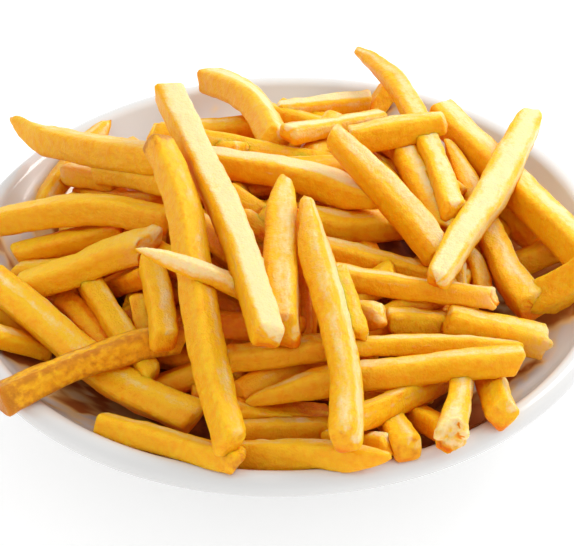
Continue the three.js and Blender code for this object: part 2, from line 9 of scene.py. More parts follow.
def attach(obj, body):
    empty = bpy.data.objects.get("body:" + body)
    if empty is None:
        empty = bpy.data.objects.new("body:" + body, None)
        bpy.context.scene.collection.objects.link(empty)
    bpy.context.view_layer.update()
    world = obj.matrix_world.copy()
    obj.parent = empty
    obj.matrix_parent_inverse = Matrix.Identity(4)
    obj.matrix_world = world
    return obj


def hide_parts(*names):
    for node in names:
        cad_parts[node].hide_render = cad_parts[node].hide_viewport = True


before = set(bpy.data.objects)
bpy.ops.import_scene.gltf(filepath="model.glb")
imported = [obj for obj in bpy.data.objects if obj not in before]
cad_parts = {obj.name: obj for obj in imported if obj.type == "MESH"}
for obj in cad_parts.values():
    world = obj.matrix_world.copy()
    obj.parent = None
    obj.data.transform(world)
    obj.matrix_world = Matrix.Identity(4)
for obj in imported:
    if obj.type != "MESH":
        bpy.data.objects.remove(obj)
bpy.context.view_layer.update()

# Lengths below are in millimetres, and the object is in metres.
MM = 0.001

# The bowl's upper face and the heap's mean upper surface, as in the solids.
RIM_RADIUS = 101.3
RIM_HEIGHT = 36.0
LIP_RADIUS = 3.7
FLOOR_RADIUS = 40.0
FLOOR_HEIGHT = 5.0
WALL_POWER = 1.35
WALL_THICKNESS = 5.0
BASE_RADIUS = 42.0
HEAP_HEIGHT = 33.0
HEAP_RADIUS = 90.0
HEAP_POWER = 1.9
LIP_REST = 9.0
CORE_DEPTH = 23.0
REAR_CORE_DEPTH = 13.0
CORE_RADIUS = 89.0
CORE_EDGE = 2.6

# The eye, on a picture of WIDTH x HEIGHT units.
WIDTH = 574
HEIGHT = 546
FOCAL = 2000.0
ELEVATION = math.radians(38.42)
ROLL = math.radians(1.345)
DISTANCE = 635.2
AIM = np.array([0.63, -6.29, RIM_HEIGHT])
SENSOR = 36.0

# The fries that show, from the lowest to the topmost: name, width as seen, turn about its own axis in
# degrees, its ends (c cut, t tip, r ragged), its middle line as seen, in picture units, and for a fry
# that sticks out, the height of its two ends over the dome.
SHOWN = [
    ("shade_left_rear", 22, 30, "cc", [(80, 192), (160, 198)]),
    ("rear_left_down", 25, -20, "tc", [(110, 124), (82, 153), (55, 188), (46, 208)]),
    ("shade_rear", 26, 30, "cc", [(150, 138), (275, 124)]),
    ("shade_left_front", 28, 30, "cc", [(16, 258), (62, 246), (128, 228)]),
    ("dim_hole_stub", 24, 20, "cc", [(95, 292), (150, 274)]),
    ("shade_left_low", 25, -20, "cc", [(38, 282), (70, 306), (106, 345)]),
    ("hole_orange", 22, 20, "cc", [(140, 294), (148, 345)]),
    ("edge_stub_a", 24, 20, "cc", [(-14, 306), (40, 330)]),
    ("edge_stub_b", 24, 25, "cc", [(-12, 334), (50, 351)]),
    ("shade_middle", 32, 30, "cc", [(296, 218), (345, 226), (404, 224)]),
    ("shade_between", 28, 20, "cc", [(303, 250), (303, 345)]),
    ("shade_crossing", 28, 20, "cc", [(196, 322), (300, 330)]),
    ("low_a", 26, 30, "cc", [(232, 411), (330, 419)]),
    ("low_b", 26, 30, "cc", [(232, 431), (345, 428)]),
    ("low_right", 28, 25, "cc", [(395, 405), (448, 432)]),
    ("stub_pale", 15, 20, "rc", [(459, 264), (461, 290)]),
    ("stub_pale_top", 20, -20, "cc", [(466, 250), (477, 267), (484, 300)]),
    ("hollow_fry", 28, 25, "cc", [(484, 192), (540, 244)]),
    ("right_under", 30, 20, "cc", [(506, 270), (548, 252), (592, 232)]),
    ("rear_slip", 22, -20, "cc", [(391, 88), (366, 122)]),
    ("rear_under_bar", 28, -20, "cc", [(400, 144), (420, 182), (446, 228)]),
    ("left_notch_end", 26, 25, "rc", [(66, 174), (118, 182)]),
    ("left_rear_gold", 26, 25, "cc", [(100, 172), (135, 177), (180, 188)]),
    ("rear_pale_a", 24, 25, "cc", [(280, 112), (320, 107), (370, 101)]),
    ("rear_pale_b", 22, 25, "cc", [(286, 134), (330, 127), (382, 118)]),
    ("tall_tip", 27, -20, "tc", [(362, 48), (385, 70), (408, 102), (430, 150), (454, 212)], (22, 0)),
    ("wide_right", 40, 40, "cc", [(437, 110), (476, 148), (524, 195), (590, 260)]),
    ("rear_bar", 32, 25, "cc", [(346, 141), (400, 131), (445, 122)]),
    ("right_cut", 35, -20, "cc", [(537, 300), (560, 287), (592, 265)]),
    ("fan_upper", 26, 25, "cc", [(316, 248), (370, 260), (430, 276)]),
    ("fan_main", 24, 20, "cr", [(322, 272), (400, 286), (495, 298)]),
    ("pair_left", 28, 20, "cr", [(388, 320), (455, 324)]),
    ("fan_stub", 30, 20, "cr", [(340, 314), (384, 316)]),
    ("pair_right", 35, 25, "cr", [(446, 320), (495, 330), (546, 344)]),
    ("centre_low", 30, 25, "cc", [(226, 360), (270, 355), (345, 345)]),
    ("low_slant", 32, -25, "cc", [(370, 392), (388, 418), (408, 450)]),
    ("ring_end", 24, 20, "cc", [(325, 440), (390, 446)]),
    ("low_diagonal", 28, 25, "cc", [(345, 423), (390, 405), (446, 377)]),
    ("broken_short", 28, 15, "cr", [(464, 368), (460, 400), (450, 438)]),
    ("bright_short", 32, 20, "cc", [(484, 360), (493, 388), (503, 416)]),
    ("front_back", 23, 20, "cc", [(330, 347), (430, 345), (518, 349)]),
    ("centre_rear", 34, 28, "ct", [(205, 162), (250, 168), (300, 177), (350, 194), (393, 206)]),
    ("upright_tip", 33, 5, "tc", [(282, 180), (281, 250), (283, 332)]),
    ("beside_cross", 24, -15, "rc", [(338, 272), (348, 300), (359, 336)]),
    ("front_long", 32, 25, "tc", [(246, 396), (300, 387), (340, 378), (400, 373), (450, 366), (520, 360)]),
    ("front_right", 31, 25, "ct", [(234, 456), (310, 455), (389, 461)]),
    ("front_left", 30, 25, "cc", [(99, 423), (150, 437), (200, 451), (241, 461)]),
    ("front_cross", 34, 18, "tc", [(303, 199), (317, 260), (334, 320), (345, 380), (345, 441)]),
    ("left_big_shade", 32, 20, "cc", [(-8, 224), (50, 213), (105, 210), (168, 222)]),
    ("left_step", 29, -15, "cc", [(80, 266), (100, 300), (118, 328), (152, 378)]),
    ("left_pale_end", 32, 20, "cr", [(20, 290), (80, 270), (112, 256), (150, 245)]),
    ("left_long_pale", 37, -18, "cc", [(-10, 279), (45, 324), (100, 371), (150, 400), (196, 418)]),
    ("left_curl", 33, 25, "tc",
     [(19, 115), (33, 131), (47, 139), (72, 145), (102, 151), (160, 159)], (9, 0)),
    ("right_bend", 31, -20, "tc", [(450, 140), (466, 180), (484, 222), (500, 258), (514, 284), (536, 307)]),
    ("ridge_right", 36, -28, "cc", [(331, 133), (376, 180), (412, 220), (441, 258)]),
    ("rear_stub", 29, 20, "cc", [(207, 80), (230, 88), (254, 106), (276, 142)], (8, 0)),
    ("brown_long", 34, 22, "cc", [(-4, 401), (50, 375), (100, 356), (150, 341), (190, 336)]),
    ("hole_side", 30, -15, "cc", [(151, 262), (160, 300), (165, 342)]),
    ("dark_edge", 37, -40, "cc", [(157, 141), (181, 198), (191, 250), (199, 300), (207, 350), (231, 446)]),
    ("thin_pale", 21, 20, "tc", [(139, 251), (175, 262), (205, 272), (248, 291)]),
    ("top_pale", 35, -20, "cc", [(168, 91), (200, 158), (221, 200), (237, 240), (269, 338)], (6, 0)),
    ("right_cross", 34, 12, "cc", [(532, 114), (518, 142), (489, 198), (462, 236), (436, 282)], (10, 0)),
]

# How the fries settle on each other, as in the solids.
STATIONS = 9
LONGEST = 112.0
STEEPEST = 1.6
SWEEPS = 160
PULLED_SWEEPS = 120
PULL = 0.02
YIELD = 1.6
SOLID_SHARE = 0.94
TESTED = 25
PAST_END = 0.35
PRESS = 0.86
BOWL_PRESS = 0.82
CORE_PRESS = 0.75
TILT = 12.0
SEED = 6
UNSEEN = 22
TRIES = 6000
UNSEEN_SIDE = 8.6
UNSEEN_SPACE = 6.5
TURNED_WIDTH = 0.72
END_SIZE = 0.62
END_SPAN = 0.05
TIP_SIZE = 0.34
TIP_SPAN = 0.24

# More fries in the depth of the heap, which only gaps and the other sides show.
FILL_SEED = 5
FILL = 130
FILL_TRIES = 9000
FILL_SPACE = 5.4

CLEARANCE = 0.3  # between the fries and the bowl
VISUAL_CORE_RADIUS = 68.0


def random_source(seed):
    """The seeded draw between 0 and 1."""
    state = seed
    full = 0xFFFFFFFF

    def draw():
        nonlocal state
        state = (state + 0x6D2B79F5) & full
        t = ((state ^ (state >> 15)) * (1 | state)) & full
        t = ((t + (((t ^ (t >> 7)) * (61 | t)) & full)) & full) ^ t
        return ((t ^ (t >> 14)) & full) / 4294967296

    return draw


def inner_height(r):
    """Height of the bowl's inner face."""
    share = np.maximum(0, r - FLOOR_RADIUS) / (RIM_RADIUS - LIP_RADIUS - FLOOR_RADIUS)
    return FLOOR_HEIGHT + (RIM_HEIGHT - FLOOR_HEIGHT) * share**WALL_POWER


def upper_face():
    """The bowl's upper face in section, from the axis over the lip to its outer side."""
    inner = [0, 20, FLOOR_RADIUS, 48, 56, 64, 72, 80, 86, 92, RIM_RADIUS - LIP_RADIUS]
    points = [(r, float(inner_height(r))) for r in inner]
    for k in range(1, 9):
        a = math.pi - math.pi * k / 8
        points.append((RIM_RADIUS + LIP_RADIUS * math.cos(a), RIM_HEIGHT + LIP_RADIUS * math.sin(a)))
    return np.array(points)


UPPER_FACE = upper_face()


def over_bowl(points):
    """Distance of points from the bowl's upper face, negative inside the wall."""
    points = np.atleast_2d(points)
    place = np.stack([np.hypot(points[:, 0], points[:, 1]), points[:, 2]], axis=1)
    start = UPPER_FACE[:-1]
    span = UPPER_FACE[1:] - start
    away = place[:, None, :] - start[None]
    t = np.clip((away * span).sum(-1) / (span**2).sum(-1), 0, 1)
    off = away - t[..., None] * span
    distance = np.hypot(off[..., 0], off[..., 1])
    nearest = distance.argmin(1)
    rows = np.arange(len(place))
    turned = span[nearest, 0] * off[rows, nearest, 1] - span[nearest, 1] * off[rows, nearest, 0]
    return distance[rows, nearest] * np.where(turned >= 0, 1.0, -1.0)


def dome_height(x, y):
    """Height of the heap's mean upper surface."""
    r = np.hypot(x, y)
    inside = HEAP_HEIGHT * (1 - (np.minimum(r, HEAP_RADIUS) / HEAP_RADIUS) ** HEAP_POWER)
    on_lip = np.clip((r - 86) / 9, 0, 1) * np.clip((y + 66) / 10, 0, 1)
    return RIM_HEIGHT + np.maximum(inside, -3 + (LIP_REST + 3) * on_lip)


def core_height(x, y):
    """Height of the core's upper face. Past its edge there is none."""
    r = np.hypot(x, y)
    t = np.clip((y + 10) / 55, 0, 1)
    depth = CORE_DEPTH + (REAR_CORE_DEPTH - CORE_DEPTH) * t * t * (3 - 2 * t)
    height = np.maximum(dome_height(0, r) - depth, inner_height(r) + CORE_EDGE)
    return np.where(r > CORE_RADIUS + 0.1, -np.inf, height)


BACK = np.array([0, -math.cos(ELEVATION), math.sin(ELEVATION)])
LEVEL = np.array([1.0, 0, 0])
UPRIGHT = np.cross(BACK, LEVEL)
RIGHT = LEVEL * math.cos(ROLL) - UPRIGHT * math.sin(ROLL)
UP = UPRIGHT * math.cos(ROLL) + LEVEL * math.sin(ROLL)
EYE = AIM + BACK * DISTANCE


def point_at(u, v, depth):
    """The point at a depth on the line of sight through a place in the picture."""
    direction = -BACK + RIGHT * (u - WIDTH / 2) / FOCAL - UP * (v - HEIGHT / 2) / FOCAL
    return EYE + np.multiply.outer(depth, direction)


def seen_at(points):
    """Where points show in the picture, and their depth."""
    away = points - EYE
    depth = away @ -BACK
    seen = np.stack([WIDTH / 2 + FOCAL * (away @ RIGHT) / depth,
                     HEIGHT / 2 - FOCAL * (away @ UP) / depth], axis=-1)
    return seen, depth


def depth_on_dome(u, v, lift):
    """The depth at which a line of sight comes down to a height over the dome."""
    direction = -BACK + RIGHT * (u - WIDTH / 2) / FOCAL - UP * (v - HEIGHT / 2) / FOCAL

    def over(depth):
        x, y, z = EYE + depth * direction
        return z - float(dome_height(x, y)) - lift

    near = DISTANCE - 160
    far = near
    while over(far) > 0 and far < DISTANCE + 160:
        near = far
        far += 4
    for _ in range(20):
        middle = (near + far) / 2
        if over(middle) > 0:
            near = middle
        else:
            far = middle
    return far


def curve_through(points, share):
    """Points at shares of the length of a smooth line through the given ones."""
    points = np.asarray(points, float)
    ends = [2 * points[0] - points[1], 2 * points[-1] - points[-2]]
    guides = np.vstack([ends[0], points, ends[1]])
    fine = []
    for i in range(1, len(guides) - 2):
        p, q, r, s = guides[i - 1:i + 3]
        for t in np.arange(12) / 12:
            fine.append(0.5 * (2 * q + (r - p) * t + (2 * p - 5 * q + 4 * r - s) * t * t
                               + (3 * q - p - 3 * r + s) * t**3))
    fine = np.array(fine + [points[-1]])
    reach = np.concatenate([[0], np.cumsum(np.linalg.norm(np.diff(fine, axis=0), axis=1))])
    goal = np.asarray(share) * reach[-1]
    return np.stack([np.interp(goal, reach, fine[:, k]) for k in range(fine.shape[1])], axis=1)


class Fry:
    """One fry: its middle line as seen, its depths and its place in space."""


def read_fry(row):
    """A shown fry before it settles. Its depth is a straight line, middle + slope * s."""
    name, width, turn, ends, path = row[:5]
    lift_a, lift_b = row[5] if len(row) > 5 else (0, 0)
    fry = Fry()
    fry.name, fry.width, fry.turn, fry.ends = name, width, turn, ends
    fry.line = curve_through(path, np.linspace(0, 1, STATIONS))
    fry.s = np.linspace(-1, 1, STATIONS)
    wanted = np.array([depth_on_dome(u, v, lift_a + (lift_b - lift_a) * k / (STATIONS - 1))
                       for k, (u, v) in enumerate(fry.line)])
    fry.middle = wanted.mean()
    fry.half = SOLID_SHARE * width * fry.middle / FOCAL / 2
    pixels = np.linalg.norm(np.diff(fry.line, axis=0), axis=1).sum()
    seen = pixels * fry.middle / FOCAL
    fry.steep = 0.5 * min(STEEPEST * seen, math.sqrt(max(0, LONGEST**2 - seen**2)))
    slope = (fry.s * (wanted - fry.middle)).sum() / (fry.s**2).sum()
    fry.slope = min(max(slope, -fry.steep), fry.steep)
    fry.own_middle, fry.own_slope = fry.middle, fry.slope
    fry.deepest = [deepest_clear(u, v, w, fry.half) for (u, v), w in zip(fry.line, wanted)]
    return fry


def deepest_clear(u, v, wanted, half):
    """The greatest depth on a line of sight at which a fry is clear of the bowl and of the core."""
    depths = wanted - 30 + 0.5 * np.arange(160)
    points = point_at(u, v, depths)
    height = over_bowl(points)
    over_core = points[:, 2] - core_height(points[:, 0], points[:, 1])
    stopped = (height < 0) | (over_core < CORE_PRESS * half)
    last = int(stopped.argmax()) if stopped.any() else len(depths)
    clear = np.nonzero(height[:last] > BOWL_PRESS * half)[0]
    return depths[clear[-1]] if len(clear) else depths[0]


def narrowing(share, ends):
    """How wide a fry is at a share of its length, against its side."""
    def at(distance, end):
        if end == "t":
            return TIP_SIZE + (1 - TIP_SIZE) * np.minimum(1, distance / TIP_SPAN) ** 0.6
        return END_SIZE + (1 - END_SIZE) * np.minimum(1, distance / END_SPAN)

    return np.minimum(at(share, ends[0]), at(1 - share, ends[1]))


def half_at(fry, s):
    return fry.half * narrowing(np.clip((s + 1) / 2, 0, 1), fry.ends)


def points_on(line, s):
    place = (s + 1) / 2 * (len(line) - 1)
    k = np.minimum(len(line) - 2, np.floor(place)).astype(int)
    return line[k] + (line[k + 1] - line[k]) * (place - k)[:, None]


def nearest_on(line, s, places):
    """For each place the nearest point of a line: its distance, and where it lies along the line."""
    start = line[:-1]
    span = line[1:] - start
    away = places[:, None, :] - start[None]
    t = np.clip((away * span).sum(-1) / (span**2).sum(-1), 0, 1)
    distance = np.linalg.norm(away - t[..., None] * span, axis=-1)
    k = distance.argmin(1)
    rows = np.arange(len(places))
    return distance[rows, k], s[k] + (s[k + 1] - s[k]) * t[rows, k]


def past_end(fry, s, places):
    """How far places lie past the end of a fry, in mm, or 0 beside it."""
    first = fry.line[0] - fry.line[1]
    last = fry.line[-1] - fry.line[-2]
    past_first = (places - fry.line[0]) @ (first / np.linalg.norm(first))
    past_last = (places - fry.line[-1]) @ (last / np.linalg.norm(last))
    past = np.where(s > 0, past_last, past_first) * DISTANCE / FOCAL
    return np.where(np.abs(s) < 0.999, 0, past)


def find_contacts(fries):
    """Where two fries cross as seen, and how far apart in depth they must lie there."""
    contacts = []
    tested = 2 * np.arange(TESTED) / (TESTED - 1) - 1
    for j, upper in enumerate(fries):
        places = points_on(upper.line, tested)
        low, high = upper.line.min(0), upper.line.max(0)
        for lower in fries[:j]:
            room = 60
            if (lower.line.min(0) > high + room).any() or (lower.line.max(0) < low - room).any():
                continue
            distance, s_lower = nearest_on(lower.line, lower.s, places)
            distance = distance * lower.middle / FOCAL
            reach = PRESS * (half_at(lower, s_lower) + half_at(upper, tested))
            near = distance < reach
            near &= past_end(lower, s_lower, places) < upper.half * PAST_END
            near &= past_end(upper, tested, points_on(lower.line, s_lower)) < lower.half * PAST_END
            for k in np.nonzero(near)[0]:
                gap = math.sqrt(reach[k] ** 2 - distance[k] ** 2)
                contacts.append((lower, upper, float(s_lower[k]), float(tested[k]), gap))
    return contacts


def settle(fries):
    """Moves the fries along their lines of sight until each lies over the ones it crosses."""
    contacts = find_contacts(fries)
    for sweep in range(SWEEPS):
        for lower, upper, s_lower, s_upper, gap in contacts:
            lack = gap - (lower.middle + lower.slope * s_lower - upper.middle - upper.slope * s_upper)
            if lack > 0:
                push = lack / (YIELD * (1 + 3 * s_lower**2) + 1 + 3 * s_upper**2)
                lower.middle += YIELD * push
                lower.slope += YIELD * push * 3 * s_lower
                upper.middle -= push
                upper.slope -= push * 3 * s_upper
        for fry in fries:
            for place, deepest in zip(fry.s, fry.deepest):
                lack = deepest - fry.middle - fry.slope * place
                if lack < 0:
                    push = lack / (1 + 3 * place**2)
                    fry.middle += push
                    fry.slope += push * 3 * place
            fry.slope = min(max(fry.slope, -fry.steep), fry.steep)
            if sweep < PULLED_SWEEPS:
                fry.middle += PULL * (fry.own_middle - fry.middle)
                fry.slope += PULL * (fry.own_slope - fry.slope)
    for fry in fries:
        place_fry(fry)


def place_fry(fry):
    """A shown fry's middle line and side in space."""
    fry.points = np.array([point_at(u, v, fry.middle + fry.slope * s)
                           for (u, v), s in zip(fry.line, fry.s)])
    turn = math.radians(fry.turn)
    widening = math.cos(turn) + TURNED_WIDTH * abs(math.sin(turn))
    fry.side = fry.width * fry.middle / FOCAL / widening


def come_to_rest(shown, unseen):
    """Lets the shown fries come down, from the lowest to the topmost, until each rests at two places."""
    resting = {}
    for lower, upper, s_lower, s_upper, gap in find_contacts(unseen + shown):
        resting.setdefault(id(upper), []).append((lower, s_lower, s_upper, gap))
    for fry in shown:
        limits = list(zip(fry.s, fry.deepest))
        for lower, s_lower, s_upper, gap in resting.get(id(fry), []):
            limits.append((s_upper, lower.middle + lower.slope * s_lower - gap))
        rooms = [depth - fry.middle - fry.slope * at for at, depth in limits]
        least = int(np.argmin(rooms))
        first = limits[least][0]
        fry.middle += rooms[least]
        sense = -1 if first > 0 else 1
        tilt = TILT / 2
        for at, depth in limits:
            arm = (at - first) * sense
            if arm > 0.05:
                tilt = min(tilt, (depth - fry.middle - fry.slope * at) / arm)
        tilt = min(tilt, fry.steep - sense * fry.slope)
        if tilt > 0:
            fry.slope += sense * tilt
            fry.middle -= sense * tilt * first
        place_fry(fry)


def draw_unseen(shown, taken, seed, count, tries, space, depths, lengths):
    """Fries behind and under the shown ones, drawn at random."""
    random = random_source(seed)
    found = []
    for _ in range(tries):
        if len(found) == count:
            break
        radius = 84 * math.sqrt(random())
        around = 2 * math.pi * random()
        heading = 2 * math.pi * random()
        length = lengths[0] + (lengths[1] - lengths[0]) * random()
        sink = depths[0] + (depths[1] - depths[0]) * random()
        pitch = 0.5 * (random() - 0.5)
        x, y = radius * math.cos(around), radius * math.sin(around)
        fall = HEAP_HEIGHT * HEAP_POWER * (radius / HEAP_RADIUS) ** (HEAP_POWER - 1) / HEAP_RADIUS
        rise = pitch - fall * math.cos(heading - around)
        along = np.array([math.cos(heading), math.sin(heading), rise])
        along /= np.linalg.norm(along)
        centre = np.array([x, y, float(dome_height(x, y)) - sink])
        points = centre + np.outer(np.array([-2, -1, 0, 1, 2]) * length / 4, along)
        if (over_bowl(points) <= 5).any() or (np.hypot(points[:, 0], points[:, 1]) >= 90).any():
            continue
        if not is_hidden(points, shown) or not is_apart(points, taken, space):
            continue
        taken.append(points)
        fry = Fry()
        fry.points, fry.turn, fry.ends, fry.side = points, 45 * random(), "cc", UNSEEN_SIDE
        fry.line, depth = seen_at(points)
        fry.s = np.linspace(-1, 1, 5)
        fry.half = fry.side / 2
        fry.middle = (depth[0] + depth[-1]) / 2
        fry.slope = (depth[-1] - depth[0]) / 2
        fry.name = f"unseen_{seed}_{len(found)}"
        found.append(fry)
    return found


def is_hidden(points, shown):
    """Whether every point lies behind a shown fry."""
    seen, depth = seen_at(points)
    hidden = np.zeros(len(points), bool)
    for fry in shown:
        distance, s = nearest_on(fry.line, fry.s, seen)
        hidden |= (distance < fry.width / 2 + 3) & (depth > fry.middle + fry.slope * s + UNSEEN_SPACE)
    return hidden.all()


def is_apart(points, taken, space):
    return all(np.linalg.norm(points[:, None] - others[None], axis=-1).min() > space
               for others in taken)


def lay_heap():
    """All fries of the heap: shown ones, hidden ones that the solids have too, and the filling."""
    shown = [read_fry(row) for row in SHOWN]
    settle(shown)
    taken = [fry.points for fry in shown]
    unseen = draw_unseen(shown, taken, SEED, UNSEEN, TRIES, UNSEEN_SPACE, (9, 27), (52, 90))
    come_to_rest(shown, unseen)
    taken = [fry.points for fry in shown + unseen]
    filling = draw_unseen(shown, taken, FILL_SEED, FILL, FILL_TRIES, FILL_SPACE, (5, 24), (42, 84))
    return shown, unseen, filling


# A fry's surface.
SHOWN_SECTION = 32  # points round a section
SHOWN_STEP = 1.2  # between sections
HIDDEN_SECTION = 16
HIDDEN_STEP = 3.5
END_ROUND = 1.4
SKY = 14  # directions in which a place may be open to the light
# Towards the key lamp: faces turned this way get paler as painted light, and faces turned away get amber as
# painted shade.
BRIGHT_SIDE = np.array([0.59, 0.43, 0.68])

# What sets some shown fries apart: how pale and how browned they are, how their width changes from end to
# middle to end, how square their section is, and how much painted shade darkens those that lie in the heap's
# shade.
LOOKS = {
    "top_pale": {"pale": 1.25, "brown": 0.05, "widths": (1.04, 1.0, 0.94)},
    "front_cross": {"pale": 0.75, "brown": 0.15},
    "right_cross": {"pale": 1.1, "brown": 0.05, "widths": (0.84, 1.0, 1.08, 1.04, 0.96, 0.88, 0.7),
                    "round": (6.0, 2.0)},
    "wide_right": {"pale": 0.6, "brown": 0.2},
    "left_long_pale": {"pale": 0.4, "brown": 0.08},
    "thin_pale": {"pale": 1.6, "brown": 0.05, "widths": (0.8, 1.0, 1.05)},
    "brown_long": {"pale": 0.1, "brown": 0.85, "dark_end": (1, 0)},
    "dark_edge": {"pale": 0.1, "brown": 0.35, "dark_end": (1, 0.2)},
    "left_curl": {"pale": 0.3, "brown": 0.25},
    "left_big_shade": {"pale": 0.1, "brown": 0.15},
    "left_pale_end": {"pale": 0.2, "brown": 0.1},
    "left_step": {"pale": 0.15, "brown": 0.1},
    "hole_side": {"pale": 0.35, "brown": 0.1},
    "centre_rear": {"pale": 1.0, "brown": 0.3, "dark_end": (0, 1)},
    "ridge_right": {"pale": 0.75, "brown": 0.15, "widths": (0.72, 1.04, 1.0)},
    "rear_stub": {"pale": 0.5, "brown": 0.1},
    "rear_bar": {"pale": 0.45, "brown": 0.2, "widths": (1.0, 1.06, 0.72)},
    "rear_pale_a": {"pale": 1.2, "brown": 0.05},
    "rear_pale_b": {"pale": 0.95, "brown": 0.1},
    "rear_under_bar": {"pale": 0.6, "brown": 0.1},
    "rear_left_down": {"pale": 0.6, "brown": 0.1},
    "tall_tip": {"pale": 0.7, "brown": 0.15},
    "upright_tip": {"pale": 0.6, "brown": 0.1},
    "right_bend": {"pale": 0.6, "brown": 0.1, "widths": (0.78, 0.96, 1.2)},
    "front_long": {"pale": 0.55, "brown": 0.15, "widths": (0.92, 1.04, 0.98)},
    "front_back": {"pale": 0.5, "brown": 0.1},
    "front_left": {"pale": 0.2, "brown": 0.2, "dark_end": (0, 0.6)},
    "front_right": {"pale": 0.35, "brown": 0.1, "widths": (1.08, 1.06, 0.9)},
    "fan_main": {"pale": 0.6, "brown": 0.2},
    "fan_upper": {"pale": 0.4, "brown": 0.2},
    "pair_right": {"pale": 0.3, "brown": 0.2},
    "broken_short": {"pale": 0.6, "brown": 0.1, "widths": (0.8, 0.9, 1.25), "lumps": 2.2},
    "bright_short": {"pale": 0.35, "brown": 0.02},
    "stub_pale": {"pale": 0.9, "brown": 0.0},
    "stub_pale_top": {"pale": 0.8, "brown": 0.0},
    "shade_left_low": {"pale": 0.0, "brown": 0.5, "shade": 0.5},
    "shade_left_rear": {"pale": 0.0, "brown": 0.2, "shade": 0.3},
    "shade_left_front": {"pale": 0.1, "brown": 0.2, "shade": 0.2},
    "dim_hole_stub": {"pale": 0.0, "brown": 0.5, "shade": 0.6},
    "shade_crossing": {"pale": 0.0, "brown": 0.3, "shade": 0.4},
    "shade_between": {"pale": 0.0, "brown": 0.3, "shade": 0.3},
    "low_right": {"pale": 0.0, "brown": 0.4, "shade": 0.5},
}


def frames_along(centres, turn):
    """Two directions across a line at each of its points, the first facing the eye before its turn."""
    along = np.gradient(centres, axis=0)
    along /= np.linalg.norm(along, axis=1)[:, None]
    facing = EYE - centres
    facing -= (facing * along).sum(1)[:, None] * along
    facing /= np.linalg.norm(facing, axis=1)[:, None]
    across = np.cross(along, facing)
    cos, sin = np.cos(turn)[:, None], np.sin(turn)[:, None]
    return along, facing * cos + across * sin, across * cos - facing * sin


def lattice_draw(cell):
    """A fixed draw between -1 and 1 for each cell of a lattice."""
    full = 0xFFFFFFFF
    mixed = (cell[:, 0] * 73856093) ^ (cell[:, 1] * 19349663) ^ (cell[:, 2] * 83492791)
    mixed &= full
    for factor in (0x7FEB352D, 0x846CA68B):
        mixed = ((mixed ^ (mixed >> 15)) * factor) & full
    return (mixed ^ (mixed >> 16)) / full * 2 - 1


def smooth_noise(points, scale, offset):
    """Noise between -1 and 1 at points, with features of about the given size."""
    place = np.asarray(points) / scale + offset
    cell = np.floor(place).astype(np.int64)
    part = place - cell
    part = part * part * (3 - 2 * part)
    total = np.zeros(len(place))
    for corner in np.ndindex(2, 2, 2):
        weight = np.where(np.array(corner) == 1, part, 1 - part).prod(axis=1)
        total += weight * lattice_draw(cell + np.array(corner))
    return total


def section_of(draw, section, turn, squareness):
    """A fry's rounded square section, of width 2 as seen, and how near each point is to a corner."""
    angles = 2 * np.pi * (np.arange(section) + 0.5) / section
    sides = np.abs(np.cos(angles)) ** squareness + np.abs(np.sin(angles)) ** squareness
    radial = sides ** (-1 / squareness)
    lean, skew = draw.normal(0, 0.06, 2)
    across = radial * np.cos(angles) * (1 + lean)
    aside = radial * np.sin(angles) * (1 - lean)
    across = across * (1 + skew * aside)
    aside = aside * (1 + draw.normal(0, 0.05) * across)
    seen = across * math.sin(turn) + aside * math.cos(turn)
    scale = 2 / (seen.max() - seen.min())
    corner = np.clip(1 - np.abs(np.abs(across) - np.abs(aside)) / 0.6, 0, 1)
    return across * scale, aside * scale, corner


